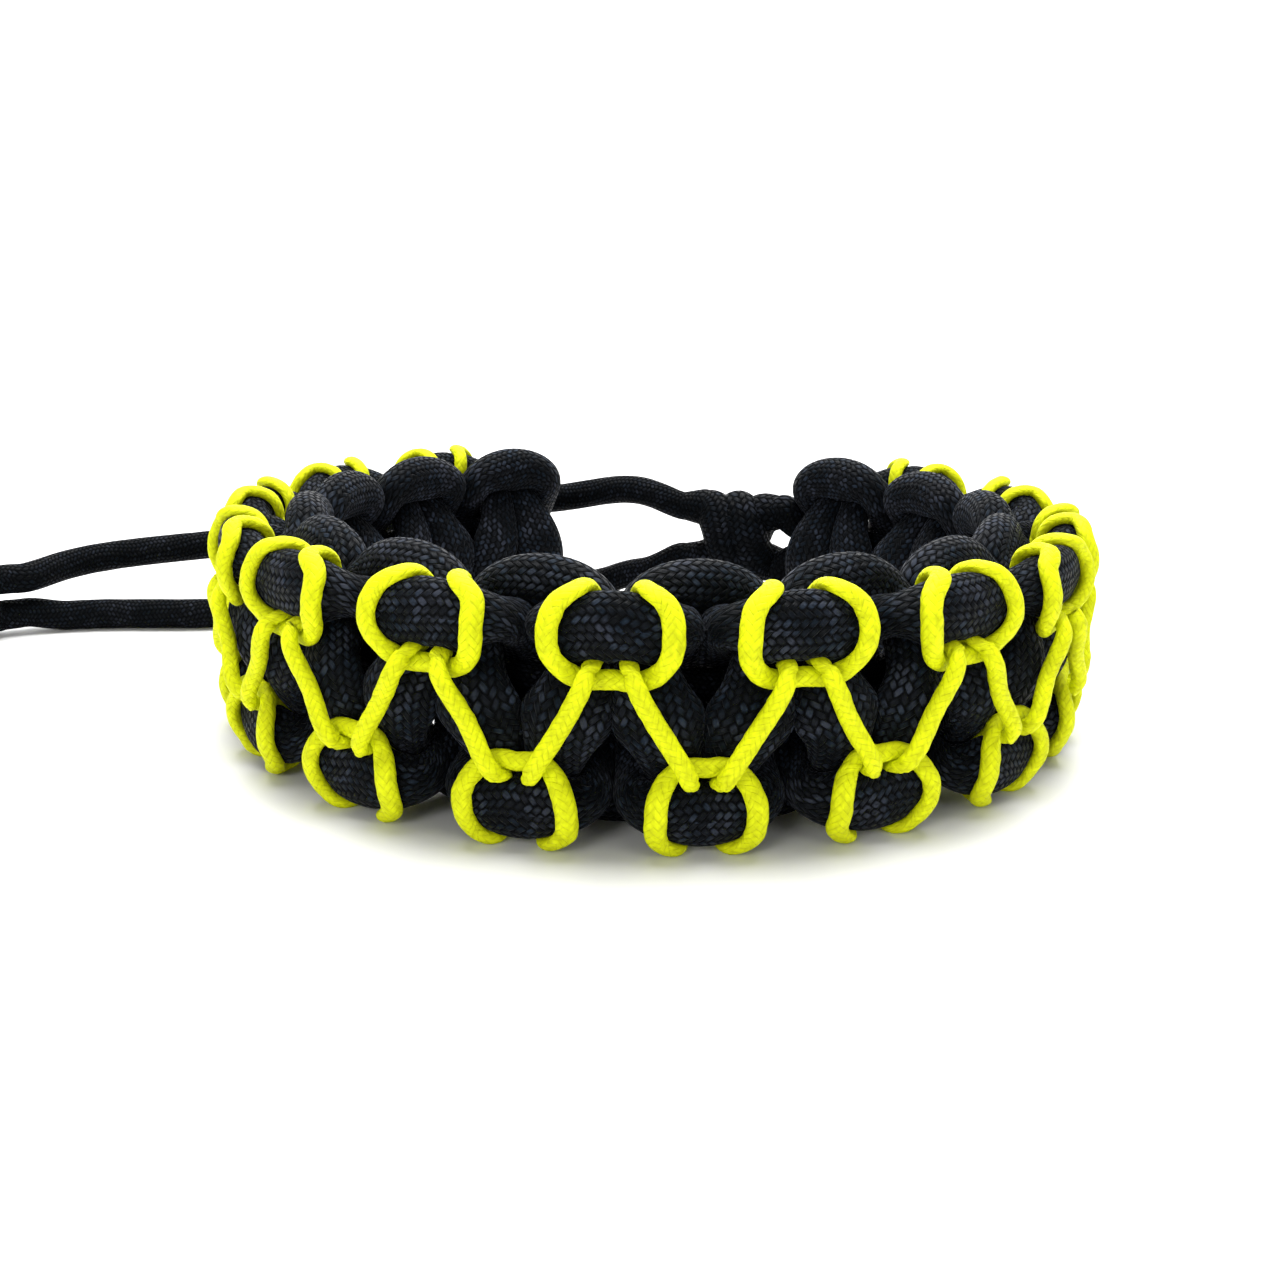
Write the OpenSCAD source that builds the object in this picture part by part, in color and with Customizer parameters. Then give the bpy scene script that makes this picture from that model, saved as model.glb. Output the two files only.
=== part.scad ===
// Paracord bracelet: two weaving cords knotted round a doubled core cord, cow-hitched along
// both edges with a thin lacing cord, and closed by a knot whose two tails lie past the
// other end of the band. The bracelet lies on its lower edge.
// Millimetres. Z is up, and the closure is at the back, on the +Y side.

/* [Ring] */
// Long way across the ring, on the middle line of the band
ring_long = 66.4; // [62:0.2:72]
// Short way across the ring, on the middle line of the band
ring_short = 57.2; // [54:0.2:62]
// Degrees that the long way is turned from the X axis
ring_turn = 3.3; // [0:0.1:8]

/* [Weaving cords] */
// Diameter of a weaving cord before the knots squeeze it
cord_d = 4; // [3.6:0.05:4.4]
// Half knots in the band
half_knots = 28; // [24:2:28]

/* [Core cord] */
// Diameter of the core cord and of its tails
core_d = 3; // [2.7:0.05:3.3]
// Gap between the two core strands inside the band
core_parting = 0.36; // [0.3:0.02:0.8]

/* [Lacing cord] */
// Diameter of the lacing cord
lace_d = 1.28; // [1:0.02:1.4]
// Half knots at each end of the band that the lacing leaves bare
lace_margin = 2; // [1:1:4]

/* [Knots] */
// Length of the core strands between the band's last bar and the closure knot
lead_length = 5.3; // [5:0.1:7]
// Length of the closure knot along the ring
closure_long = 8.2; // [7:0.1:9]
// Height of the closure knot
closure_high = 9.6; // [9:0.1:11]
// Thickness of the closure knot, inside to outside
closure_thick = 6.6; // [5:0.1:8]
// Length of the stopper knot
stopper_long = 8; // [6:0.1:10]
// Height of the stopper knot
stopper_high = 7.8; // [7:0.1:9]
// Width of the stopper knot
stopper_thick = 7.2; // [5:0.1:9]

/* [Hidden] */

black = [0.07, 0.07, 0.08];
neon = [0.83, 0.93, 0.08];

// The ring's middle, set so that the object's box is centred on the origin
ring_middle = [0, 2, 0];
// Length of the band that one half knot takes
knot_step = 1.4875 * cord_d;
// Where the band's middle lies, from the ring's front end of its short way
band_middle = -4.5;
band_start = band_middle - half_knots * knot_step / 2;

// The core strand as the knots squeeze it
core_half_thick = 0.357 * core_d;
core_half_wide = 0.39 * core_d;
// How far it lies inside the middle line
core_inset = 0.157 * core_d;
core_up = core_half_wide + core_parting / 2;
core_edge = core_up + core_half_wide;

// Rows of a weaving cord: its arc at the band's edge, its leg and its bar across the core.
// Lengths are shares of cord_d. The last column is the core's face that the row rests
// on: 1 for the outer, -1 for the inner, 0 for none, and OUT is counted from that face.
UP = 0;
OUT = 1;
THICK = 2;
WIDE = 3;
FACE = 4;
front_rows = [
    [1.385, -0.55, 0.45, 0.475, 0],
    [0.78, -0.222, 0.42, 0.335, 0],
    [0.00, 0.67, 0.36, 0.63, 1]
];
back_rows = [
    [1.10, 0.92, 0.38, 0.565, 0],
    [0.882, 0.27, 0.40, 0.265, 0],
    [0.00, -0.552, 0.32, 0.54, -1]
];
// How far an arc reaches along the band, and how far its legs lean, in shares of knot_step
front_reach = 0.76;
front_lean = 0.09;
back_reach = 0.79;
back_lean = 0.04;
// Plain melted ends, in half knots past the band's first and last bar
front_stub = 0.65;
back_stub = 0.35;

// One hitch of the lacing cord round a bump of the back weaving cord, from its bar to where
// it crosses to the other edge. ALONG is in shares of knot_step from the
// bump's middle, RISE and PROUD in shares of cord_d, HALF in shares of lace_d.
ALONG = 0;
RISE = 1;
PROUD = 2;
HALF = 3;
hitch_rows = [
    [0.30, -0.93, 0.14, 0.50],
    [0.585, -0.50, 0.42, 0.50],
    [0.625, -0.02, 0.45, 0.50],
    [0.53, 0.42, 0.28, 0.50],
    [0.37, 0.63, 0.10, 0.39],
    [0.28, 0.55, -0.38, 0.39],
    [0.22, 0.05, -0.60, 0.31],
    [0.20, -0.59, -0.31, 0.30],
    [0.19, -0.67, 0.215, 0.35],
    [0.26, -0.95, 0.525, 0.48]
];

bump_up = core_edge + back_rows[0][UP] * cord_d;
bump_out = back_rows[0][OUT] * cord_d;
// The lacing's lowest hitches carry the bracelet
mid_height = bump_up + hitch_rows[4][RISE] * cord_d + hitch_rows[4][HALF] * lace_d;

// Core strand between the band and the closure knot, a row for each ring of the tube.
// PAST is a share of lead_length, LIFT and SIZE are shares of core_d.
PAST = 0;
LIFT = 1;
SIZE = 2;
lead_rows = [
    [0.30, 0.47, 0.38],
    [0.50, 0.50, 0.39],
    [0.68, 0.78, 0.44],
    [0.84, 0.96, 0.49],
    [1.00, 0.96, 0.50]
];
// Gap between the ends of the core strands and the closure knot
knot_gap = 0.35;
// How far each tail leaves a knot above or below the knot's middle
closure_spread = core_d;
stopper_spread = 0.65 * core_d;
// Straight length of a tail next to a knot
tail_straight = 2.5;

// Routes of the two tails between their straight ends
upper_route = [
    [0.4, 31.8, 14.0], [-2.6, 32.8, 14.4], [-6, 33.8, 13.9], [-10.2, 34.6, 13.0],
    [-16, 35.1, 12.2], [-22, 34.7, 11.4], [-28, 33.7, 10.5], [-34, 32.6, 9.6],
    [-40, 31.6, 8.8], [-46, 30.7, 8.1], [-52, 29.4, 7.6], [-57, 27.8, 7.3],
    [-61.5, 25.6, 7.0], [-65, 23.1, 6.5]
];
lower_route = [
    [0.4, 31.8, 5.3], [-2.4, 32.8, 4.4], [-5, 33.8, 3.3], [-7.4, 34.6, 2.5],
    [-11, 35.4, 1.8], [-15, 35.6, 1.5], [-20, 34.7, 1.5], [-26, 32.2, 1.5],
    [-32, 29.2, 1.5], [-38, 26.2, 1.5], [-44, 23.8, 1.5], [-50, 22.5, 1.5],
    [-55.5, 22.1, 1.5], [-60.8, 21.6, 1.5], [-65, 20.6, 1.7]
];
// Middle of the face where the tails enter the stopper knot, and the way they enter
stopper_face = [-69.6, 18.7, 4.1];
stopper_way = 207;

// Sides of a tube: weaving and core cords, lacing cord, tails
cord_sides = 6;
lace_sides = 5;
tail_sides = 8;
// Rings of a weaving cord and of a core strand for each half knot
rings_per_knot = 7;
core_rings_per_knot = 1.5;

function unit(v) = v / norm(v);
function square_to(v, t) = unit(v - (v * t) * t);
function reversed(v) = [for (i = [len(v) - 1 : -1 : 0]) v[i]];
function tangent(points, i) =
    unit(points[min(i + 1, len(points) - 1)] - points[max(i - 1, 0)]);

// Angle on the ring at a length along it from the front end of its short way
ring_step = 2;
function on_ring(t) = [ring_long / 2 * sin(t), -ring_short / 2 * cos(t)];
ring_table = [
    for (t = 0, l = 0; t <= 220; l = l + norm(on_ring(t + ring_step) - on_ring(t)), t = t + ring_step)
        [l, t]
];
function ring_angle(l) = sign(l) * lookup(abs(l), ring_table);
function turned(v) = [
    cos(ring_turn) * v[0] - sin(ring_turn) * v[1],
    sin(ring_turn) * v[0] + cos(ring_turn) * v[1],
    v[2]
];
function outward(l) =
    let (t = ring_angle(l))
    turned(unit([ring_short / 2 * sin(t), -ring_long / 2 * cos(t), 0]));
// Point from its length along the ring, its height over the band's middle and its
// distance out from the middle line
function placed(p) =
    ring_middle + turned([each on_ring(ring_angle(p[0])), mid_height + p[1]])
        + p[2] * outward(p[0]);

// Closed tube through the points, with a half thickness along each out and a half width
// across it
module tube(points, outs, thick, wide, sides) {
    n = len(points);
    rings = [
        for (i = [0 : n - 1])
            let (t = tangent(points, i), out = square_to(outs[i], t), side = cross(t, out))
            for (j = [0 : sides - 1])
                let (a = 360 * j / sides)
                points[i] + thick[i] * cos(a) * out + wide[i] * sin(a) * side
    ];
    last = (n - 1) * sides;
    faces = [
        for (i = [0 : n - 2], j = [0 : sides - 1])
            let (a = i * sides + j, b = i * sides + (j + 1) % sides)
            each [[a, b + sides, b], [a, a + sides, b + sides]],
        [for (j = [0 : sides - 1]) j],
        [for (j = [sides - 1 : -1 : 0]) last + j]
    ];
    polyhedron(points = rings, faces = faces, convexity = 10);
}

// Directions carried along a route with no twist, from a first one
function carried(points, first) = [
    for (i = 0, v = square_to(first, tangent(points, 0));
         i < len(points);
         i = i + 1, v = square_to(v, tangent(points, min(i, len(points) - 1))))
        v
];

// Values of a weaving cord's row in millimetres: up, out, half thickness, half width
function sized(row) = [
    core_edge + row[UP] * cord_d,
    row[OUT] * cord_d + (row[FACE] == 0 ? 0 : row[FACE] * core_half_thick - core_inset),
    row[THICK] * cord_d,
    row[WIDE] * cord_d
];
// Smooth change from arc to leg to bar. u counts half knots: whole at an arc, half at a bar
function between(u, rows) =
    let (arc = sized(rows[0]), leg = sized(rows[1]), bar = sized(rows[2]))
    (arc + 2 * leg + bar) / 4
        + (arc - bar) / 2 * cos(360 * u)
        + (arc - 2 * leg + bar) / 4 * cos(720 * u);
function weave_height(u, rows) =
    let (arc = sized(rows[0])[0], leg = sized(rows[1])[0] * sqrt(2))
    (arc + leg) / 2 * cos(180 * u) + (arc - leg) / 2 * cos(540 * u);
function weave_along(u, reach, lean) =
    band_start + knot_step * (u + (reach - 0.25) * sin(360 * u) + lean * sin(720 * u));

// A weaving cord. edge is 1 if its arc at the band's start is at the upper edge, or -1
module weaving_cord(rows, reach, lean, stub, edge) {
    first = 0.5 - stub;
    last = half_knots - 0.5 + stub;
    count = round((last - first) * rings_per_knot);
    steps = [for (i = [0 : count]) first + (last - first) * i / count];
    spots = [
        for (u = steps)
            [weave_along(u, reach, lean), edge * weave_height(u, rows), between(u, rows)[1]]
    ];
    tube(
        [for (p = spots) placed(p)],
        [for (p = spots) outward(p[0])],
        [for (u = steps) between(u, rows)[2]],
        [for (u = steps) between(u, rows)[3]],
        cord_sides
    );
}

module front_weaving_cord() {
    color(black) weaving_cord(front_rows, front_reach, front_lean, front_stub, -1);
}

module back_weaving_cord() {
    color(black) weaving_cord(back_rows, back_reach, back_lean, back_stub, 1);
}

// The core cord: from the closure knot through the band, folded at the far end, and back
core_first = band_start + 0.5 * knot_step;
core_last = band_start + (half_knots - 0.5) * knot_step;
core_rings = round(core_rings_per_knot * (half_knots - 1));
core_strand = [
    for (i = [0 : core_rings])
        [core_first + (core_last - core_first) * i / core_rings, core_up, -core_inset,
         core_half_thick, core_half_wide]
];
core_lead = [
    for (r = lead_rows)
        [core_last + r[PAST] * lead_length, r[LIFT] * core_d, -core_inset,
         r[SIZE] * core_d, r[SIZE] * core_d]
];
core_fold = [
    for (a = [30 : 40 : 150])
        [core_first - core_up * sin(a), core_up * cos(a), -core_inset,
         core_half_thick, core_half_wide]
];
function flipped(row) = [row[0], -row[1], row[2], row[3], row[4]];
core_rows = let (run = concat(core_strand, core_lead)) concat(
    reversed(run),
    core_fold,
    [for (r = run) flipped(r)]
);

module core_cord() {
    color(black) tube(
        [for (r = core_rows) placed(r)],
        [for (r = core_rows) outward(r[0])],
        [for (r = core_rows) r[3]],
        [for (r = core_rows) r[4]],
        cord_sides
    );
}

// A whole hitch, its left half mirrored from its right
whole_hitch = concat(
    [for (r = reversed(hitch_rows)) [-r[ALONG], r[RISE], r[PROUD], r[HALF]]],
    hitch_rows
);
lacing_rows = [
    for (k = [lace_margin : half_knots - lace_margin])
        let (edge = k % 2 == 0 ? 1 : -1)
        for (r = whole_hitch)
            [band_start + knot_step * (k + r[ALONG]), edge * (bump_up + r[RISE] * cord_d),
             bump_out + r[PROUD] * cord_d, r[HALF] * lace_d]
];

module lacing_cord() {
    points = [for (r = lacing_rows) placed(r)];
    halves = [for (r = lacing_rows) r[3]];
    color(neon) tube(points, carried(points, [0, 0, 1]), halves, halves, lace_sides);
}

// Lumpy barrel along X from a flat face at the origin to another: its belly and its faces
// are ovals, and slanting lumps stand for the turns of cord
module knot_barrel(long, thick, high, end_thick, end_high) {
    lumps = 3;
    twist = 140;
    stations = [0, 0.12, 0.32, 0.5, 0.68, 0.88, 1];
    swell = [0, 0.62, 0.96, 1, 0.96, 0.62, 0];
    sides = 12;
    groove = 0.07;
    rings = [
        for (i = [0 : len(stations) - 1], j = [0 : sides - 1])
            let (
                a = 360 * j / sides,
                ridge = 1 + groove * swell[i] * cos(lumps * a + twist * stations[i]),
                half_y = (end_thick + (thick - end_thick) * swell[i]) / 2,
                half_z = (end_high + (high - end_high) * swell[i]) / 2
            )
            [stations[i] * long, ridge * half_y * cos(a), ridge * half_z * sin(a)]
    ];
    last = (len(stations) - 1) * sides;
    faces = [
        for (i = [0 : len(stations) - 2], j = [0 : sides - 1])
            let (a = i * sides + j, b = i * sides + (j + 1) % sides)
            each [[a, b + sides, b], [a, a + sides, b + sides]],
        [for (j = [0 : sides - 1]) j],
        [for (j = [sides - 1 : -1 : 0]) last + j]
    ];
    polyhedron(points = rings, faces = faces, convexity = 4);
}

// Closure knot: the face where the core strands enter, the way along it, and its far face
closure_along = core_last + lead_length + knot_gap + closure_long / 2;
closure_middle = placed([closure_along, 0, 0]);
closure_way = let (out = outward(closure_along)) [-out[1], out[0], 0];
closure_near = closure_middle - closure_long / 2 * closure_way;
closure_far = closure_middle + closure_long / 2 * closure_way;

module closure_knot() {
    color(black)
        translate(closure_near)
            rotate([0, 0, atan2(closure_way[1], closure_way[0])])
                knot_barrel(
                    closure_long, closure_thick, closure_high,
                    1.45 * core_d, 2 * closure_spread + 1.05 * core_d
                );
}

stopper_line = [cos(stopper_way), sin(stopper_way), 0];

module stopper_knot() {
    color(black)
        translate(stopper_face)
            rotate([0, 0, stopper_way])
                knot_barrel(
                    stopper_long, stopper_thick, stopper_high,
                    1.3 * core_d, 2 * stopper_spread + 1.05 * core_d
                );
}

// A tail from one knot to the other. side is 1 for the upper tail and -1 for the lower
module tail(route, side) {
    start = closure_far + [0, 0, side * closure_spread];
    end = stopper_face + [0, 0, side * stopper_spread];
    points = concat(
        [start, start + tail_straight * closure_way],
        route,
        [end - tail_straight * stopper_line, end]
    );
    halves = [for (p = points) core_d / 2];
    color(black) tube(points, carried(points, [0, 0, 1]), halves, halves, tail_sides);
}

module upper_tail() tail(upper_route, 1);
module lower_tail() tail(lower_route, -1);

front_weaving_cord();
back_weaving_cord();
core_cord();
lacing_cord();
closure_knot();
upper_tail();
lower_tail();
stopper_knot();
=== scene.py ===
import math

import bpy
import numpy as np
from mathutils import Matrix, Vector
from mathutils.bvhtree import BVHTree
from mathutils.kdtree import KDTree


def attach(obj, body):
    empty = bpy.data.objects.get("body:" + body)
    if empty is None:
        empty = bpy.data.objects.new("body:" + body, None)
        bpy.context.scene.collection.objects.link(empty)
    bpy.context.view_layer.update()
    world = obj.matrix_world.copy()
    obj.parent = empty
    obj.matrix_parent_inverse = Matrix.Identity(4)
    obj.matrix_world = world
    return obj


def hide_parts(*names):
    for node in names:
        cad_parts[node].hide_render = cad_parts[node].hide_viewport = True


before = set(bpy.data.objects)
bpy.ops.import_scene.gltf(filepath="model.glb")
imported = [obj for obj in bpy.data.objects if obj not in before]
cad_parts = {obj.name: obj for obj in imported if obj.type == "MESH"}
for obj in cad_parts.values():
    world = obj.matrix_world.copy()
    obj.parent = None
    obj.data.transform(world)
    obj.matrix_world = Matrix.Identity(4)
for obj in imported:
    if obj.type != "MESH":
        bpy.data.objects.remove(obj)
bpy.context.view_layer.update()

# Sizes are in millimetres, as in the part's source, and MM turns them into metres.
MM = 0.001
UPWARD = np.array([0.0, 0.0, 1.0])

# Ring, weaving cords, core cord and lacing cord, the same values as in the part
RING_LONG = 66.4
RING_SHORT = 57.2
RING_TURN = 3.3
RING_MIDDLE = np.array([0.0, 2.0, 0.0])
CORD = 4.0
HALF_KNOTS = 28
KNOT_STEP = 1.4875 * CORD
BAND_MIDDLE = -4.5
BAND_START = BAND_MIDDLE - HALF_KNOTS * KNOT_STEP / 2
FIRST_KNOT = BAND_START + 0.5 * KNOT_STEP
LAST_KNOT = BAND_START + (HALF_KNOTS - 0.5) * KNOT_STEP
CORE = 3.0
CORE_PARTING = 0.36
CORE_HALF_THICK = 0.357 * CORE
CORE_HALF_WIDE = 0.39 * CORE
CORE_INSET = 0.157 * CORE
CORE_UP = CORE_HALF_WIDE + CORE_PARTING / 2
CORE_EDGE = CORE_UP + CORE_HALF_WIDE
LACE = 1.28
LACE_MARGIN = 2

# Leads, knots and tails, the same values too, but a tail is a little fuller than its solid
LEAD_LENGTH = 5.3
KNOT_GAP = 0.35
CLOSURE_LONG = 8.2
CLOSURE_SPREAD = CORE
STOPPER_LONG = 8.0
STOPPER_SPREAD = 0.65 * CORE
STOPPER_FACE = np.array([-69.6, 18.7, 4.1])
STOPPER_WAY = math.radians(207)
TAIL_STRAIGHT = 2.5
TAIL_HALF = 0.53 * CORE

# Rows of a weaving cord: arc, leg and bar. Columns up, out, half thickness and half width
# in shares of the cord, and the face of the core that the row rests on.
FRONT_ROWS = np.array(
    [
        [1.385, -0.55, 0.45, 0.475, 0],
        [0.78, -0.222, 0.42, 0.335, 0],
        [0.00, 0.67, 0.36, 0.63, 1],
    ]
)
BACK_ROWS = np.array(
    [
        [1.10, 0.92, 0.38, 0.565, 0],
        [0.882, 0.27, 0.40, 0.265, 0],
        [0.00, -0.552, 0.32, 0.54, -1],
    ]
)
# Where the legs of a weaving cord stand along the band, how far they lean, and how far the
# cord's ends run on, all in half knots
FRONT_REACH, FRONT_LEAN, FRONT_STUB = 0.76, 0.09, 0.65
BACK_REACH, BACK_LEAN, BACK_STUB = 0.79, 0.04, 0.35

# One half of a hitch of the lacing cord round a bump. Columns: along in half knots, rise and
# proud in shares of the weaving cord, half thickness and half width in shares of the lacing
# cord, which lies flatter where it presses on the bump.
HITCH_ROWS = np.array(
    [
        [0.30, -0.93, 0.14, 0.50, 0.56],
        [0.575, -0.50, 0.42, 0.47, 0.62],
        [0.615, -0.02, 0.45, 0.46, 0.64],
        [0.555, 0.42, 0.26, 0.46, 0.64],
        [0.37, 0.63, 0.10, 0.40, 0.60],
        [0.28, 0.55, -0.38, 0.39, 0.54],
        [0.22, 0.05, -0.60, 0.31, 0.54],
        [0.20, -0.59, -0.31, 0.30, 0.54],
        [0.19, -0.67, 0.215, 0.35, 0.54],
        [0.26, -0.95, 0.525, 0.48, 0.54],
    ]
)
HITCH_CREST = HITCH_ROWS[4]
# The bar that joins the two halves of a hitch, and the middle of a diagonal
HITCH_BAR = np.array([[0.00, -0.92, 0.12, 0.50, 0.56]])
DIAGONAL_MIDDLE = np.array([[0.50, 0.00, 0.47, 0.50, 0.55]])
# The lower hitches are drawn in, and no two hitches are quite the same
LOWER_HITCH_WIDTH = 0.89
HITCH_WIDTHS = (0.97, 1.03)
HITCH_WOBBLE = 0.008
HITCH_SEED = 11

# A core strand on its way to the closure knot. Columns: along in shares of the lead's length,
# up, half thickness and half width in shares of the core cord.
LEAD_ROWS = np.array(
    [
        [0.30, 0.47, 0.38, 0.40],
        [0.50, 0.53, 0.41, 0.46],
        [0.68, 0.84, 0.50, 0.60],
        [0.84, 1.05, 0.57, 0.68],
        [1.00, 1.02, 0.54, 0.56],
    ]
)

# The band stands on the crests of its lower hitches
BUMP_UP = CORE_EDGE + BACK_ROWS[0, 0] * CORD
BUMP_OUT = BACK_ROWS[0, 1] * CORD
MID_HEIGHT = BUMP_UP + HITCH_CREST[1] * CORD + HITCH_CREST[3] * LACE

# Routes of the two tails between the straight ends at each knot
UPPER_ROUTE = [
    [0.4, 31.8, 14.0], [-2.6, 32.8, 14.4], [-6, 33.8, 13.9], [-10.2, 34.6, 13.0],
    [-16, 35.1, 12.2], [-22, 34.7, 11.4], [-28, 33.7, 10.5], [-34, 32.6, 9.6],
    [-40, 31.6, 8.8], [-46, 30.7, 8.1], [-52, 29.4, 7.6], [-57, 27.8, 7.3],
    [-61.5, 25.6, 7.0], [-65, 23.1, 6.5],
]
LOWER_ROUTE = [
    [0.4, 31.8, 5.3], [-2.4, 32.8, 4.4], [-5, 33.8, 3.3], [-7.4, 34.6, 2.5],
    [-11, 35.4, 1.8], [-15, 35.6, 1.5], [-20, 34.7, 1.5], [-26, 32.2, 1.5],
    [-32, 29.2, 1.5], [-38, 26.2, 1.5], [-44, 23.8, 1.5], [-50, 22.5, 1.5],
    [-55.5, 22.1, 1.5], [-60.8, 21.6, 1.5], [-65, 20.6, 1.7],
]

# Rings along the cords: the millimetres between them, how many for each half knot, and how
# many in a strand of a knot
TAIL_RING_GAP, LACE_RING_GAP, CORE_RING_GAP = 0.14, 0.3, 0.25
WEAVE_RINGS = 64
KNOT_RINGS = 150
# Points round each cord
TAIL_SIDES, LACE_SIDES, WEAVE_SIDES, CORE_SIDES = 40, 22, 44, 36
# Rings in the rounded end of a cord, and the share of its size that the last one keeps
CAP_RINGS = 5
CAP_TIP = 0.03


# Camera at the photo's viewing angle, in metres
def make_camera():
    data = bpy.data.cameras.new("photo_view")
    data.sensor_width = 36
    data.lens = 35.43
    data.clip_start = 0.005
    data.dof.use_dof = False
    camera = bpy.data.objects.new("photo_view", data)
    place = (-0.00138, -0.11157, 0.04134)
    pitch, roll, yaw = math.radians(17.38), math.radians(1.05), math.radians(-0.115)
    turn = (
        Matrix.Rotation(yaw, 4, "Z")
        @ Matrix.Rotation(math.pi / 2 - pitch, 4, "X")
        @ Matrix.Rotation(roll, 4, "Z")
    )
    camera.matrix_world = Matrix.Translation(place) @ turn
    bpy.context.scene.collection.objects.link(camera)
    bpy.context.scene.camera = camera


make_camera()


# Small helpers for arrays of points and directions
def columns(*parts):
    return np.stack(np.broadcast_arrays(*parts), -1)


def running_sum(steps):
    return np.concatenate([[0], np.cumsum(steps)])


def unit(vectors):
    return vectors / np.linalg.norm(vectors, axis=-1, keepdims=True)


def square_to(vectors, way):
    return unit(vectors - (vectors * way).sum(-1, keepdims=True) * way)


def before_and_after(rows):
    return np.vstack([rows[:1], rows[:-1]]), np.vstack([rows[1:], rows[-1:]])


# The ring: length along it, height over the band's middle and distance out
def ring_table(reach=230, samples=9201):
    """Lengths along the ring, 0 at its front, and the angles that they belong to."""
    angles = np.radians(np.linspace(-reach, reach, samples))
    x, y = RING_LONG / 2 * np.sin(angles), -RING_SHORT / 2 * np.cos(angles)
    lengths = running_sum(np.hypot(np.diff(x), np.diff(y)))
    return lengths - lengths[len(lengths) // 2], angles


RING_LENGTHS, RING_ANGLES = ring_table()


def turned(points):
    a = math.radians(RING_TURN)
    x, y, z = points[..., 0], points[..., 1], points[..., 2]
    return columns(math.cos(a) * x - math.sin(a) * y, math.sin(a) * x + math.cos(a) * y, z)


def outward(along):
    t = np.interp(along, RING_LENGTHS, RING_ANGLES)
    return turned(unit(columns(RING_SHORT / 2 * np.sin(t), -RING_LONG / 2 * np.cos(t), 0.0)))


def placed(along, up, out):
    t = np.interp(along, RING_LENGTHS, RING_ANGLES)
    spot = columns(RING_LONG / 2 * np.sin(t), -RING_SHORT / 2 * np.cos(t), MID_HEIGHT + up)
    return RING_MIDDLE + turned(spot) + np.asarray(out)[..., None] * outward(along)


# Lines
def smooth_line(points, gap):
    """Smooth curve through the points, with a step of about gap between samples. Columns
    after the first three are values that change along it."""
    points = np.asarray(points, float)
    n = len(points)
    chord = np.linalg.norm(np.diff(points[:, :3], axis=0), axis=1)
    h = np.diff(running_sum(np.sqrt(chord)))[:, None]
    slope = np.diff(points, axis=0) / h
    system = np.zeros((n, n))
    right = np.zeros_like(points)
    system[0, 0] = system[-1, -1] = 1
    for i in range(1, n - 1):
        system[i, i - 1 : i + 2] = h[i - 1, 0], 2 * (h[i - 1, 0] + h[i, 0]), h[i, 0]
        right[i] = 6 * (slope[i] - slope[i - 1])
    bend = np.linalg.solve(system, right)
    pieces = []
    for i in range(n - 1):
        count = max(1, int(round(chord[i] / gap)))
        s = (np.arange(count) / count * h[i, 0])[:, None]
        rest = h[i, 0] - s
        pieces.append(
            (bend[i] * rest**3 + bend[i + 1] * s**3) / (6 * h[i, 0])
            + (points[i] / h[i, 0] - bend[i] * h[i, 0] / 6) * rest
            + (points[i + 1] / h[i, 0] - bend[i + 1] * h[i, 0] / 6) * s
        )
    return np.concatenate(pieces + [points[-1:]])


def tangents(centres):
    behind, ahead = before_and_after(centres)
    return unit(ahead - behind)


def carried(centres, first):
    """Directions across a line, carried along it with no twist."""
    way = tangents(centres)
    out = [square_to(first, way[0])]
    for t in way[1:]:
        out.append(square_to(out[-1], t))
    return np.array(out)


def away_from(centres, lines, rounds=6):
    """For each point, the way from the nearest point of the cords it lies on, evened out."""
    spots = np.vstack(lines)
    finder = KDTree(len(spots))
    for i, spot in enumerate(spots):
        finder.insert(spot, i)
    finder.balance()
    ways = unit(np.array([centre - spots[finder.find(centre)[1]] for centre in centres]))
    for _ in range(rounds):
        behind, ahead = before_and_after(ways)
        ways = unit(ways * 2 + ahead + behind)
    return ways


def waves(count, longest, seed):
    """Seeded smooth unevenness along a cord, about 1 high, as a function of millimetres."""
    dice = np.random.default_rng(seed)
    pitch = longest / dice.uniform(1, 4, count)
    start = dice.uniform(0, 2 * math.pi, count)
    strength = dice.normal(0, 1, count) / math.sqrt(count)

    def value(s):
        s = np.asarray(s)[..., None]
        return (strength * np.sin(2 * math.pi * s / pitch + start)).sum(-1)

    return value


# Cords as meshes
def evened(values):
    """Values on a cord's surface, each moved towards its neighbours round and along it."""
    behind, ahead = before_and_after(values)
    return (2 * values + np.roll(values, 1, 1) + np.roll(values, -1, 1) + behind + ahead) / 6


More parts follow.
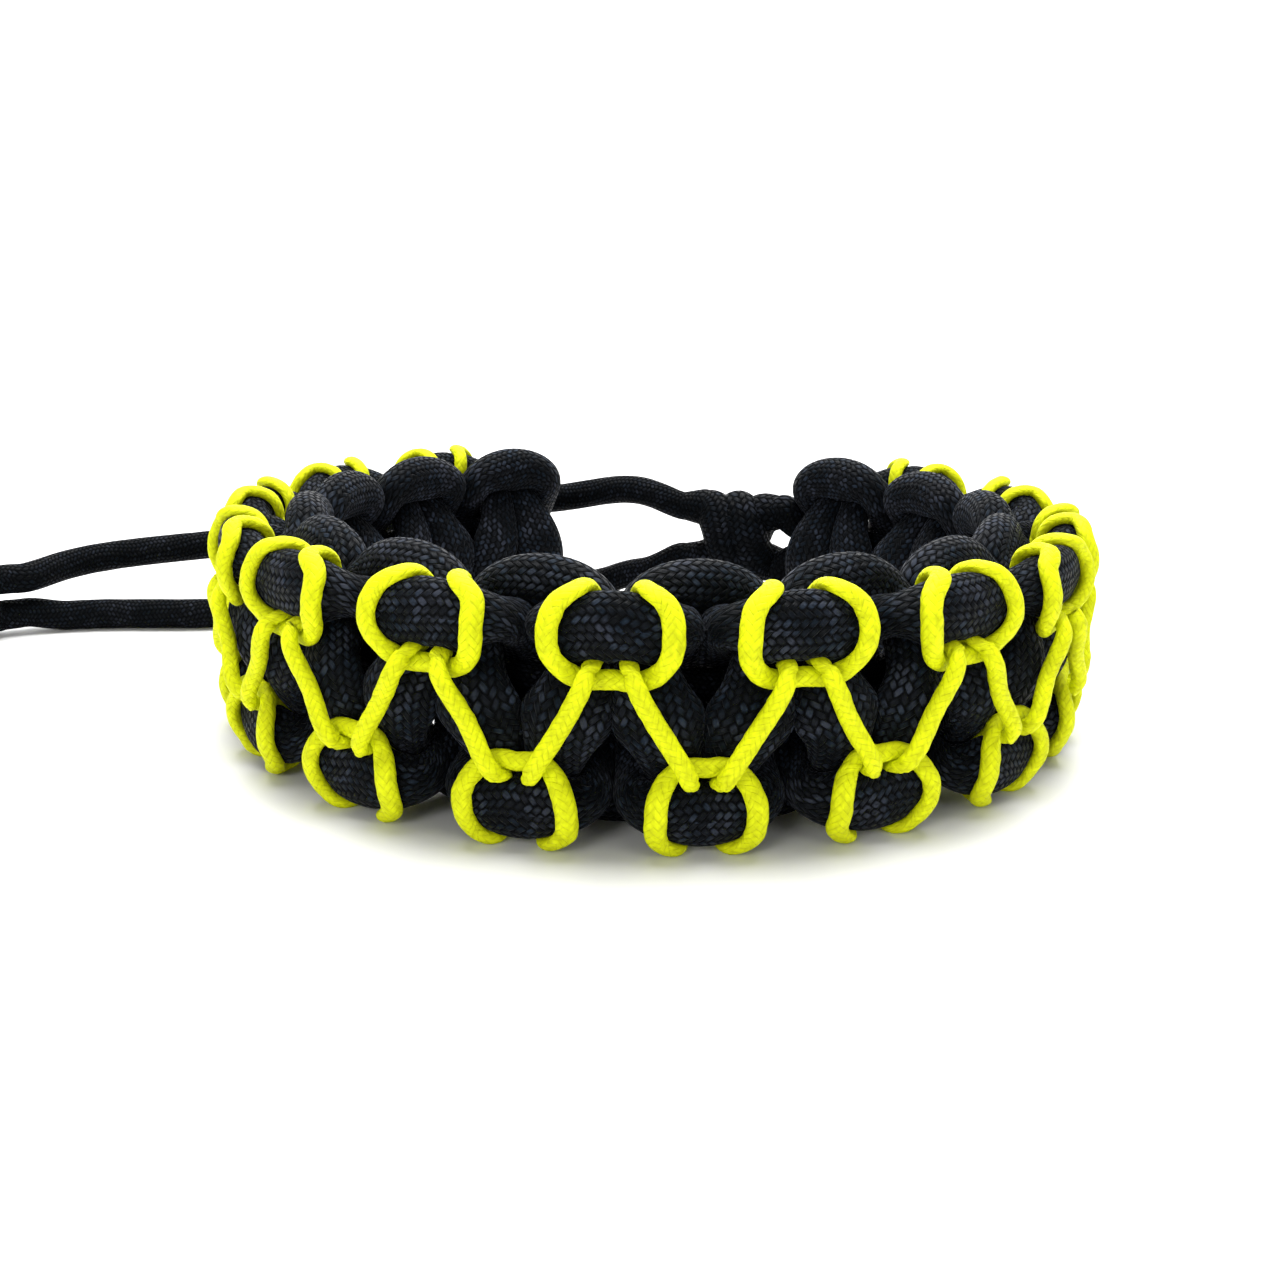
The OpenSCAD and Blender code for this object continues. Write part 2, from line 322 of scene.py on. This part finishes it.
class Tube:
    """A cord's surface: rings of points round a centre line. Each spoke runs from the line to
    a point, and cap is how far the rounded ends stand out, in shares of the cord's radius."""

    def __init__(self, centres, outs, thick, wide, sides, cap=0.5):
        count = len(centres)
        thick = np.broadcast_to(thick, count).astype(float)
        wide = np.broadcast_to(wide, count).astype(float)
        way = tangents(centres)
        out = square_to(outs, way)

        # The rings of a rounded end repeat the last full one, further out and smaller
        angle = np.linspace(0, math.pi / 2, CAP_RINGS + 1)[1:]
        shrink = np.cos(angle)
        shrink[-1] = CAP_TIP
        caps = []
        for i, sign in ((0, -1), (-1, 1)):
            radius = (thick[i] + wide[i]) / 2
            caps.append(centres[i] + sign * way[i] * (radius * cap * np.sin(angle))[:, None])
        rows = np.pad(np.arange(count), CAP_RINGS, mode="edge")
        way, out, thick, wide = way[rows], out[rows], thick[rows], wide[rows]

        self.sides = sides
        self.turn = 2 * math.pi * np.arange(sides) / sides
        self.shares = np.concatenate([shrink[::-1], np.ones(count), shrink])
        self.centres = np.vstack([caps[0][::-1], centres, caps[1]])
        self.lengths = running_sum(np.linalg.norm(np.diff(self.centres, axis=0), axis=1))
        self.spokes = (
            (thick * self.shares)[:, None, None] * np.cos(self.turn)[:, None] * out[:, None]
            + (wide * self.shares)[:, None, None]
            * np.sin(self.turn)[:, None]
            * np.cross(way, out)[:, None]
        )

    def resized(self, old, new):
        self.spokes *= (new / np.maximum(old, 1e-9))[..., None]

    def uneven(self, amount, longest, seed, lobes=4, waves_each=5):
        """Soft lumps of a hand-tied cord."""
        total = np.zeros((len(self.centres), self.sides))
        for lobe in range(lobes):
            swell = waves(waves_each, longest, seed + lobe)(self.lengths)
            total += swell[:, None] * np.cos(lobe * self.turn + lobe)[None, :] / 2
        self.spokes *= (1 + amount * total)[..., None]
        return self

    def swollen(self, others, lacing, side_room, face_room, free):
        """The soft cord fills the room round it, half of the way to its neighbours, and gives
        way where the lacing presses on it. The rooms are the most that it grows at its sides
        and faces, and free is the share of that where nothing is near."""
        gap, skin, least, rounds = 0.02, 0.01, 0.35, 6
        size = np.linalg.norm(self.spokes, axis=2)
        own = self.tree()
        side_share = np.sin(self.turn) ** 2
        want = side_room * side_share + face_room * (1 - side_share)
        grown = np.zeros(size.shape)
        most = np.full(size.shape, np.inf)
        for i in np.flatnonzero(self.shares == 1):
            start = Vector(self.centres[i])
            for j in range(self.sides):
                reach, wish = float(size[i, j]), float(want[j])
                way = Vector(self.spokes[i, j] / reach)
                grown[i, j] = free * wish
                hits = (
                    others.ray_cast(start, way, reach + 2 * wish)[0],
                    own.ray_cast(start + way * (reach + skin), way, 2 * wish)[0],
                )
                rooms = [(hit - start).length - reach for hit in hits if hit is not None]
                if rooms:
                    room = min(rooms) / 2 - gap / 2
                    grown[i, j] = min(wish, room)
                    most[i, j] = reach + room
                hit = lacing.ray_cast(start, way, reach + 2 * wish)[0]
                if hit is not None:
                    bound = (hit - start).length - gap
                    grown[i, j] = max(grown[i, j], min(wish, bound - reach))
                    most[i, j] = min(most[i, j], bound)
        for _ in range(rounds):
            grown = evened(grown)
        self.resized(size, np.maximum(np.minimum(size + grown, most), least * size))
        return self

    def softened(self, rounds):
        """Evens the pressed surface out."""
        for _ in range(rounds):
            size = np.linalg.norm(self.spokes, axis=2)
            self.resized(size, np.minimum(evened(size), size))
        return self

    def resting(self):
        """Flat where it lies on the table."""
        room = -self.centres[:, 2][:, None]
        self.spokes[..., 2] = np.maximum(self.spokes[..., 2], room)
        return self

    def points(self):
        return (self.centres[:, None] + self.spokes).reshape(-1, 3)

    def faces(self, start=0):
        i = np.arange(len(self.centres) - 1)[:, None] * self.sides
        j = np.arange(self.sides)[None, :]
        k = (j + 1) % self.sides
        ahead = i + self.sides
        return np.stack([i + j, i + k, ahead + k, ahead + j], -1).reshape(-1, 4) + start

    def corner_places(self):
        """Millimetres along the cord and the share of the way round it, at the faces' corners."""
        low, high = self.lengths[:-1, None], self.lengths[1:, None]
        left = np.arange(self.sides) / self.sides
        right = left + 1 / self.sides
        along, around = columns(low, low, high, high), columns(left, right, right, left)
        return columns(along, around).reshape(-1, 2)

    def in_caps(self):
        """Which faces belong to the two rounded ends."""
        rings = len(self.centres)
        ring = np.repeat(np.arange(rings - 1), self.sides)
        return (ring < CAP_RINGS - 1) | (ring >= rings - CAP_RINGS)

    def closing_faces(self, start):
        """The two faces that close the tips."""
        end = start + len(self.centres) * self.sides
        return [list(range(start + self.sides - 1, start - 1, -1)), list(range(end - self.sides, end))]

    def tree(self):
        return joined_tree([self])


def joined(tubes):
    """The points of several tubes, their faces, and where each tube's points start."""
    points = [tube.points() for tube in tubes]
    starts = running_sum([len(some) for some in points]).tolist()
    faces = [tube.faces(start) for tube, start in zip(tubes, starts)]
    return np.vstack(points), np.vstack(faces), starts


def joined_tree(tubes):
    points, faces, _ = joined(tubes)
    return BVHTree.FromPolygons(points.tolist(), faces.tolist())


def cord_object(name, node, tubes, materials):
    """One object from several tubes, which stands for a solid of the part. With a second
    material, the rounded ends of the tubes take it."""
    points, quads, starts = joined(tubes)
    closing = []
    for tube, start in zip(tubes, starts):
        closing += tube.closing_faces(start)
    mesh = bpy.data.meshes.new(name)
    mesh.from_pydata((points * MM).tolist(), [], quads.tolist() + closing)
    corners = np.zeros((len(mesh.loops), 2))
    corners[: quads.size] = np.concatenate([tube.corner_places() for tube in tubes])
    mesh.uv_layers.new(name="cord").data.foreach_set("uv", corners.ravel())
    for material in materials:
        mesh.materials.append(material)
    if len(materials) > 1:
        which = np.ones(len(mesh.polygons), np.int32)
        which[: len(quads)] = np.concatenate([tube.in_caps() for tube in tubes])
        mesh.polygons.foreach_set("material_index", which)
    mesh.shade_smooth()
    piece = bpy.data.objects.new(name, mesh)
    bpy.context.scene.collection.objects.link(piece)
    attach(piece, "root")
    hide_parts(node)
    return piece


# Shaders
class Socket:
    """A number in a shader that Python's own arithmetic joins to others."""

    def __init__(self, shader, outlet):
        self.shader, self.outlet = shader, outlet

    def __add__(self, other):
        return self.shader.number("ADD", self, other)

    def __sub__(self, other):
        return self.shader.number("SUBTRACT", self, other)

    def __mul__(self, other):
        return self.shader.number("MULTIPLY", self, other)

    def __truediv__(self, other):
        return self.shader.number("DIVIDE", self, other)

    def __radd__(self, other):
        return self.shader.number("ADD", other, self)

    def __rsub__(self, other):
        return self.shader.number("SUBTRACT", other, self)

    def __rmul__(self, other):
        return self.shader.number("MULTIPLY", other, self)

    def __rtruediv__(self, other):
        return self.shader.number("DIVIDE", other, self)

    def floor(self):
        return self.shader.number("FLOOR", self)

    def part(self):
        return self.shader.number("FRACT", self)

    def sine(self):
        return self.shader.number("SINE", self)

    def over(self, other):
        return self.shader.number("GREATER_THAN", self, other)

    def between(self, low, high):
        """0 below low, 1 above high, smooth in between."""
        settings = {"interpolation_type": "SMOOTHSTEP"}
        values = {"Value": self, "From Min": low, "From Max": high}
        return self.shader.node("ShaderNodeMapRange", settings, values)


class Shader:
    """A material and the nodes that feed its Principled surface."""

    def __init__(self, name, **constants):
        self.material = bpy.data.materials.new(name)
        self.material.use_nodes = True
        self.tree = self.material.node_tree
        self.surface = self.tree.nodes["Principled BSDF"]
        for socket, value in constants.items():
            self.surface.inputs[socket.replace("_", " ")].default_value = value

    def node(self, kind, settings=None, sockets=None, outlet=0):
        made = self.tree.nodes.new(kind)
        for name, value in (settings or {}).items():
            setattr(made, name, value)
        for key, value in (sockets or {}).items():
            if isinstance(value, Socket):
                self.tree.links.new(value.outlet, made.inputs[key])
            else:
                made.inputs[key].default_value = value
        return Socket(self, made.outputs[outlet])

    def number(self, operation, *values):
        return self.node("ShaderNodeMath", {"operation": operation}, dict(enumerate(values)))

    def mixed(self, share, first, second):
        """A colour from first to second. The node takes colours at its sockets 6 and 7."""
        settings = {"data_type": "RGBA", "clamp_factor": True}
        values = {0: share, 6: first, 7: second}
        return self.node("ShaderNodeMix", settings, values, outlet=2)

    def along_and_round(self):
        """Millimetres along the cord, and the share of the way round it."""
        uv = self.node("ShaderNodeUVMap", {"uv_map": "cord"})
        parts = self.node("ShaderNodeSeparateXYZ", None, {"Vector": uv}).outlet.node.outputs
        return Socket(self, parts["X"]), Socket(self, parts["Y"])

    def spot(self):
        """The place on the object, in metres."""
        return self.node("ShaderNodeTexCoord", outlet="Object")

    def join(self, x, y, z):
        return self.node("ShaderNodeCombineXYZ", None, {"X": x, "Y": y, "Z": z})

    def noise(self, place, scale, detail):
        values = {"Vector": place, "Scale": scale, "Detail": detail, "Roughness": 0.5}
        return self.node("ShaderNodeTexNoise", {"noise_dimensions": "3D"}, values)

    def chance(self, x, y, z):
        """A random number for each place."""
        values = {"Vector": self.join(x, y, z)}
        return self.node("ShaderNodeTexWhiteNoise", {"noise_dimensions": "3D"}, values)

    def bumped(self, height, depth):
        values = {"Strength": 1.0, "Distance": depth, "Height": height}
        return self.node("ShaderNodeBump", None, values)

    def feed(self, socket, value):
        self.tree.links.new(value.outlet, self.surface.inputs[socket])


def strand_height(place_across, run):
    """Flat on top and steep at its sides, and highest in the middle of each float."""
    body, arch = 0.7, 0.6
    across = place_across * 2 - 1
    flat = across * across
    return (1 - flat * flat * flat) * body + (run * (math.pi / 2)).sine() * arch


def braid(shader, along, around, pitch, carriers):
    """Herringbone braid of two sets of strands that run opposite ways round the cord, each
    over two and under two. Gives the height of the upper strand, the place across it, and
    a random number for each of its floats."""
    blend, cycle = 0.04, 4
    lift = along / pitch
    turn = around * carriers
    first, second = lift + turn, lift - turn
    first_cell, second_cell = first.floor(), second.floor()
    first_across, second_across = first.part(), second.part()
    first_run, second_run = second - first_cell + 1, first - second_cell - 2
    first_height = strand_height(first_across, first_run)
    second_height = strand_height(second_across, second_run)
    top = shader.number("SMOOTH_MAX", first_height, second_height, blend)
    which = first_height.over(second_height)
    across = second_across + which * (first_across - second_across)
    strand = second_cell + which * (first_cell - second_cell)
    run = (second_run + which * (first_run - second_run)) / cycle
    return top, across, shader.chance(strand, run.floor(), which)


# Colours of the cords and the floor
# Painted shade in the grooves of the black braid, and the two colours of the painted highlight on its
# floats
GROOVE_SHADE_BLACK = (0.0013, 0.0017, 0.0022, 1)
FLOAT_GLINT_BLUE = (0.014, 0.027, 0.046, 1)
FLOAT_GLINT_GREY = (0.032, 0.037, 0.052, 1)
FUZZ_TINT = (0.75, 0.8, 0.9, 1)
NEON_DEEP = (0.50, 0.53, 0.0, 1)
NEON_BRIGHT = (0.89, 0.96, 0.002, 1)
# Painted shade in the creases of the yellow lacing braid
NEON_CREASE_SHADE = (0.40, 0.41, 0.0, 1)
MELTED_BLACK = (0.004, 0.004, 0.004, 1)
MELTED_BROWN = (0.02, 0.018, 0.017, 1)
FLOOR_DULL = (0.79, 0.79, 0.79, 1)
FLOOR_PALE = (0.81, 0.81, 0.81, 1)


def sheath_material(name, pitch, carriers, shine, gloss, fuzz):
    """Black nylon sheath: a herringbone braid with dull floats, which wanders round
    the cord and stretches along it as on a cord that has been pulled. A painted bluish
    highlight lies on the crests of the floats, and painted shade in the grooves between them."""
    shader = Shader(
        name,
        Specular_IOR_Level=gloss,
        Sheen_Weight=fuzz,
        Sheen_Roughness=0.35,
        Sheen_Tint=FUZZ_TINT,
    )
    along, around = shader.along_and_round()
    place = shader.spot()

    # Strands that the braid wanders round the cord, and millimetres that it stretches
    wander_strands, stretch_length = 7, 0.7
    wander = shader.noise(shader.join(along * 0.11, 0, 0), scale=1.0, detail=1) - 0.5
    stretch = shader.noise(place, scale=260, detail=1) - 0.5
    around = around + wander * (wander_strands / carriers)
    stretched = along + stretch * stretch_length
    top, across, chance = braid(shader, stretched, around, pitch, carriers)

    # Yarns in each strand, their fibres, and random patches where the painted highlight is stronger
    # and greyer
    yarns = 4
    yarn = (across * (2 * math.pi * yarns)).sine() * 0.5 + 0.5
    fibre_place = shader.join(along * 2.2, around * carriers * 1.5, chance * 9)
    fine = shader.noise(fibre_place, scale=2.0, detail=3)
    glint_patches = shader.noise(place, scale=350, detail=3).between(0.35, 0.65)

    # Painted highlight: only the crests of the floats are painted light, some more than others, and
    # most in the random patches; the grooves keep a painted shade
    crest = top.between(0.78, 1.3)
    by_chance = 0.12 + chance * chance * 1.3
    by_fibre = fine * 2.6 - 0.3
    by_glint_patch = 0.2 + glint_patches * 0.8
    light = crest * shine * by_chance * by_fibre * by_glint_patch
    glint_colour = shader.mixed(glint_patches, FLOAT_GLINT_BLUE, FLOAT_GLINT_GREY)
    shader.feed("Base Color", shader.mixed(light, GROOVE_SHADE_BLACK, glint_colour))
    shader.feed("Roughness", 0.95 - crest * 0.5 + (fine - 0.5) * 0.2 + (chance - 0.5) * 0.25)
    height = top + yarn * 0.06 + fine * 0.2 + chance * 0.25
    shader.feed("Normal", shader.bumped(height, 0.2 * MM))
    return shader.material


def neon_material():
    """Yellow micro cord: matt and mottled, with a fine braid that hardly shows, painted shade in the
    braid's creases and a faint painted glow.
    """
    shader = Shader(
        "neon_sheath",
        Specular_IOR_Level=0.2,
        Subsurface_Weight=0.05,
        Subsurface_Radius=(0.9, 0.9, 0.3),
        Subsurface_Scale=0.0005,
        # A faint painted glow of the cord's own colour
        Emission_Strength=0.01,
    )
    along, around = shader.along_and_round()
    top, _, _ = braid(shader, along, around, pitch=0.62, carriers=8)
    place = shader.spot()
    cloud = shader.noise(place, scale=420, detail=3)
    streak = shader.noise(shader.join(along * 0.6, around * 3, 0), scale=2.2, detail=3)
    grain = shader.noise(place, scale=2200, detail=2)
    mottle = (cloud * 0.5 + streak + grain * 0.6 - 1.05) * 1.2 + 0.62
    colour = shader.mixed(mottle, NEON_DEEP, NEON_BRIGHT)
    # Painted shade: the lacing is darker in the creases of its braid
    unshaded_share = top.between(0.3, 1.05) * 0.38 + 0.62
    crease_shaded = shader.mixed(unshaded_share, NEON_CREASE_SHADE, colour)
    shader.feed("Base Color", crease_shaded)
    # Painted glow: the cord gives off a faint light of its own colour, with the shade in its creases
    shader.feed("Emission Color", crease_shaded)
    shader.feed("Roughness", 0.75 - mottle * 0.12)
    height = top * 0.7 + streak * 1.5 + cloud * 0.8 + grain * 0.3
    shader.feed("Normal", shader.bumped(height, 0.08 * MM))
    return shader.material


def melted_material():
    """The plain melted end of a black cord: hard, smooth and a little shiny."""
    shader = Shader("melted_nylon", Specular_IOR_Level=0.2)
    cloud = shader.noise(shader.spot(), scale=900, detail=3)
    shader.feed("Base Color", shader.mixed(cloud, MELTED_BLACK, MELTED_BROWN))
    shader.feed("Roughness", 0.28 + cloud * 0.3)
    shader.feed("Normal", shader.bumped(cloud, 0.08 * MM))
    return shader.material


def floor_material():
    shader = Shader("pale_floor", Specular_IOR_Level=0.2, Roughness=0.6)
    cloud = shader.noise(shader.spot(), scale=3, detail=2)
    shader.feed("Base Color", shader.mixed(cloud, FLOOR_DULL, FLOOR_PALE))
    return shader.material


weave_sheath = sheath_material(
    "weaving_sheath", pitch=0.58, carriers=23, shine=1.15, gloss=0.06, fuzz=0.045
)
core_sheath = sheath_material(
    "core_sheath", pitch=0.46, carriers=20, shine=0.4, gloss=0.04, fuzz=0.005
)
neon_sheath = neon_material()
melted = melted_material()


# The two tails and the knots at their ends
closure_along = LAST_KNOT + LEAD_LENGTH + KNOT_GAP + CLOSURE_LONG / 2
closure_middle = placed(closure_along, 0, 0.0)
closure_out = outward(closure_along)
closure_way = np.array([-closure_out[1], closure_out[0], 0])
closure_near = closure_middle - CLOSURE_LONG / 2 * closure_way
closure_far = closure_middle + CLOSURE_LONG / 2 * closure_way
stopper_way = np.array([math.cos(STOPPER_WAY), math.sin(STOPPER_WAY), 0])


def tail_line(route, side):
    """From the closure knot to the stopper knot, straight at both and never below the table."""
    start = closure_far + side * CLOSURE_SPREAD * UPWARD
    end = STOPPER_FACE + side * STOPPER_SPREAD * UPWARD
    straight = [start, start + TAIL_STRAIGHT / 2 * closure_way, start + TAIL_STRAIGHT * closure_way]
    entry = [end - TAIL_STRAIGHT * stopper_way, end - TAIL_STRAIGHT / 2 * stopper_way, end]
    line = smooth_line(straight + route + entry, TAIL_RING_GAP)
    line[:, 2] = np.maximum(line[:, 2], TAIL_HALF)
    return line


def make_tail(name, node, line, seed):
    tube = Tube(line, carried(line, UPWARD), TAIL_HALF, TAIL_HALF, TAIL_SIDES, cap=0.1)
    tube.uneven(amount=0.012, longest=9, seed=seed).resting()
    return cord_object(name, node, [tube], [core_sheath])


def knot_strands(near, way, long, start_up, end_up, belly_out, belly_up, half, lead, tail, neck=0):
    """Two strands turned round each other along a line, as in a half knot pulled tight. They
    stand start_up and end_up from the line at the knot's faces and belly_out and belly_up in
    its middle, run on past the faces by lead and tail, and thicken to half in the knot and by
    neck next to it."""
    roundness, hurry, end_taper = 0.7, 0.12, 0.03
    out = np.cross(way, UPWARD)
    s = np.linspace(-lead / long, 1 + tail / long, KNOT_RINGS)
    inside = np.clip(s, 0, 1)
    swell = np.sin(math.pi * inside) ** roundness
    ease = inside - hurry * np.sin(2 * math.pi * inside)
    up = start_up + (end_up - start_up) * inside
    up = up + (belly_up - up) * swell
    full = np.clip(swell * 1.6 - 0.2, 0, 1)
    past = np.where(s < 0, -s * long / lead, np.maximum(s - 1, 0) * long / tail)
    size = TAIL_HALF + (half - TAIL_HALF) * full + neck * (1 - full) * (1 - past)
    size = size - end_taper * past
    tubes = []
    for strand in (0, 1):
        angle = 2 * math.pi * ease + math.pi * strand
        centres = (
            near
            + (s * long)[:, None] * way
            + (up * np.cos(angle))[:, None] * UPWARD
            + (belly_out * swell * np.sin(angle))[:, None] * out
        )
        tubes.append(Tube(centres, carried(centres, UPWARD), size, size, TAIL_SIDES, cap=0.3))
    return tubes


upper_line = tail_line(UPPER_ROUTE, 1)
lower_line = tail_line(LOWER_ROUTE, -1)
upper_piece = make_tail("upper_tail_cord", "upper_tail", upper_line, 40)
lower_piece = make_tail("lower_tail_cord", "lower_tail", lower_line, 50)
closure_tubes = knot_strands(
    closure_near,
    closure_way,
    CLOSURE_LONG,
    start_up=0.96 * CORE,
    end_up=CLOSURE_SPREAD,
    belly_out=1.6,
    belly_up=2.75,
    half=0.8 * CORE,
    lead=1.5,
    tail=2.4,
    neck=0.5,
)
cord_object("closure_knot_cords", "closure_knot", closure_tubes, [core_sheath])
stopper_tubes = knot_strands(
    STOPPER_FACE,
    stopper_way,
    STOPPER_LONG,
    start_up=STOPPER_SPREAD,
    end_up=STOPPER_SPREAD,
    belly_out=1.75,
    belly_up=2.05,
    half=0.6 * CORE,
    lead=0.3,
    tail=2.2,
)
stopper_materials = [core_sheath, melted]
stopper_piece = cord_object("stopper_knot_cords", "stopper_knot", stopper_tubes, stopper_materials)


# Centre lines and half sizes of the lacing, weaving and core cords
def lacing_controls():
    """A hitch round each bump, at the upper and lower edge in turn, and the diagonals."""
    dice = np.random.default_rng(HITCH_SEED)
    rows = []
    last = HALF_KNOTS - LACE_MARGIN
    for k in range(LACE_MARGIN, last + 1):
        edge = 1 if k % 2 == 0 else -1
        mirrored = HITCH_ROWS[::-1] * [-1, 1, 1, 1, 1]
        whole = np.vstack([mirrored, HITCH_BAR, HITCH_ROWS])
        if k < last:
            whole = np.vstack([whole, DIAGONAL_MIDDLE])
            whole[-1, 1] = -BUMP_UP / CORD
        width = 1.0 if edge > 0 else LOWER_HITCH_WIDTH
        whole[:-1, 0] *= width * dice.uniform(*HITCH_WIDTHS)
        whole[:, :2] += dice.normal(0, HITCH_WOBBLE, (len(whole), 2))
        along = BAND_START + KNOT_STEP * (k + whole[:, 0])
        up = edge * (BUMP_UP + whole[:, 1] * CORD)
        out = BUMP_OUT + whole[:, 2] * CORD
        rows.append(np.hstack([placed(along, up, out), whole[:, 3:] * LACE]))
    return np.vstack(rows)


def weave_values(u, rows):
    """A weaving cord's columns after u half knots, as waves through arc, leg and bar, and its
    height, which changes sides at every bar."""
    sized = rows[:, :4] * CORD
    sized[:, 0] += CORE_EDGE
    on_core = rows[:, 4] != 0
    sized[on_core, 1] += rows[on_core, 4] * CORE_HALF_THICK - CORE_INSET
    arc, leg, bar = sized
    once, twice = np.cos(2 * math.pi * u)[:, None], np.cos(4 * math.pi * u)[:, None]
    values = (arc + 2 * leg + bar) / 4 + (arc - bar) / 2 * once + (arc - 2 * leg + bar) / 4 * twice
    high, low = arc[0], leg[0] * math.sqrt(2)
    height = (high + low) / 2 * np.cos(math.pi * u) + (high - low) / 2 * np.cos(3 * math.pi * u)
    return values, height


def weaving_line(rows, reach, lean, stub, edge):
    """Centre line of a weaving cord, its outward directions and its half sizes."""
    leg_at = 0.25
    count = int(round((HALF_KNOTS - 1 + 2 * stub) * WEAVE_RINGS))
    u = np.linspace(0.5 - stub, HALF_KNOTS - 0.5 + stub, count + 1)
    values, height = weave_values(u, rows)
    swing = (reach - leg_at) * np.sin(2 * math.pi * u) + lean * np.sin(4 * math.pi * u)
    along = BAND_START + KNOT_STEP * (u + swing)
    return placed(along, edge * height, values[:, 1]), outward(along), values[:, 2], values[:, 3]


def core_line():
    """From the closure knot along the upper strand, round the fold and back along the lower."""
    along = np.linspace(FIRST_KNOT, LAST_KNOT, 60)
    strand = columns(along, CORE_UP, CORE_HALF_THICK, CORE_HALF_WIDE)
    leads = LEAD_ROWS * [LEAD_LENGTH, CORE, CORE, CORE]
    leads[:, 0] += LAST_KNOT
    angle = np.radians(np.arange(15, 166, 15))
    fold_along, fold_up = FIRST_KNOT - CORE_UP * np.sin(angle), CORE_UP * np.cos(angle)
    fold = columns(fold_along, fold_up, CORE_HALF_THICK, CORE_HALF_WIDE)
    run = np.vstack([strand, leads])
    rows = np.vstack([run[::-1], fold, run * [1, -1, 1, 1]])
    spots = placed(rows[:, 0], rows[:, 1], np.full(len(rows), -CORE_INSET))
    line = smooth_line(np.hstack([spots, rows[:, 2:], outward(rows[:, 0])]), CORE_RING_GAP)
    return line[:, :3], line[:, 5:], line[:, 3], line[:, 4]


front = weaving_line(FRONT_ROWS, FRONT_REACH, FRONT_LEAN, FRONT_STUB, edge=-1)
back = weaving_line(BACK_ROWS, BACK_REACH, BACK_LEAN, BACK_STUB, edge=1)
lace = smooth_line(lacing_controls(), LACE_RING_GAP)
lace_out = away_from(lace[:, :3], [front[0], back[0]])

lace_tube = Tube(lace[:, :3], lace_out, lace[:, 3], lace[:, 4], LACE_SIDES)
lace_tube.uneven(amount=0.035, longest=4, seed=90).resting()
lace_tree = lace_tube.tree()
cord_object("lacing_micro_cord", "lacing_cord", [lace_tube], [neon_sheath])

front_tube, back_tube = Tube(*front, WEAVE_SIDES), Tube(*back, WEAVE_SIDES)
core_tube = Tube(*core_line(), CORE_SIDES, cap=0.1)
round_front = joined_tree([back_tube, core_tube])
round_back = joined_tree([front_tube, core_tube])
front_tube.swollen(round_front, lace_tree, side_room=1.5, face_room=0.45, free=0.17)
back_tube.swollen(round_back, lace_tree, side_room=1.3, face_room=0.35, free=0.15)
front_tube.softened(2).resting()
back_tube.softened(2).resting()
cord_object("front_weaving_sheath", "front_weaving_cord", [front_tube], [weave_sheath, melted])
cord_object("back_weaving_sheath", "back_weaving_cord", [back_tube], [weave_sheath, melted])
cord_object("core_sheath_cord", "core_cord", [core_tube], [core_sheath])


# Pale floor that bends up into a backdrop, and soft studio light, in metres
def make_floor():
    near, far, half_width, bend, top = -0.9, 0.9, 2.0, 0.25, 1.6
    profile = [(near, 0.0), (far, 0.0)]
    for angle in np.radians(np.arange(10, 91, 10)):
        profile.append((far + bend * math.sin(angle), bend * (1 - math.cos(angle))))
    profile.append((far + bend, top))
    points = [(x, y, z) for y, z in profile for x in (-half_width, half_width)]
    faces = [(2 * i, 2 * i + 1, 2 * i + 3, 2 * i + 2) for i in range(len(profile) - 1)]
    mesh = bpy.data.meshes.new("studio_floor")
    mesh.from_pydata(points, [], faces)
    mesh.shade_smooth()
    mesh.materials.append(floor_material())
    floor = bpy.data.objects.new("studio_floor", mesh)
    bpy.context.scene.collection.objects.link(floor)


def make_light(name, place, aim, size, watts):
    data = bpy.data.lights.new(name, "AREA")
    data.shape = "RECTANGLE"
    data.size, data.size_y = size
    data.energy = watts
    light = bpy.data.objects.new(name, data)
    light.location = place
    light.rotation_euler = (Vector(aim) - Vector(place)).to_track_quat("-Z", "Y").to_euler()
    bpy.context.scene.collection.objects.link(light)


def make_world(strength):
    world = bpy.data.worlds.new("studio")
    world.use_nodes = True
    background = world.node_tree.nodes["Background"]
    background.inputs["Color"].default_value = (1, 1, 1, 1)
    background.inputs["Strength"].default_value = strength
    bpy.context.scene.world = world


make_floor()
make_light("overhead", place=(0, 0.11, 0.7), aim=(0, 0.02, 0), size=(0.5, 0.45), watts=9.6)
make_light("backdrop_wash", place=(0, 0.62, 0.75), aim=(0, 1.15, 0.1), size=(1.8, 0.3), watts=26.0)
make_light("left_front", place=(-0.3, -0.55, 0.35), aim=(0, 0, 0.01), size=(0.25, 0.25), watts=1.2)
make_light("right_front", place=(0.4, -0.5, 0.3), aim=(0, 0, 0.01), size=(0.25, 0.3), watts=0.5)
make_world(0.3)
bpy.context.scene.view_settings.view_transform = "Standard"
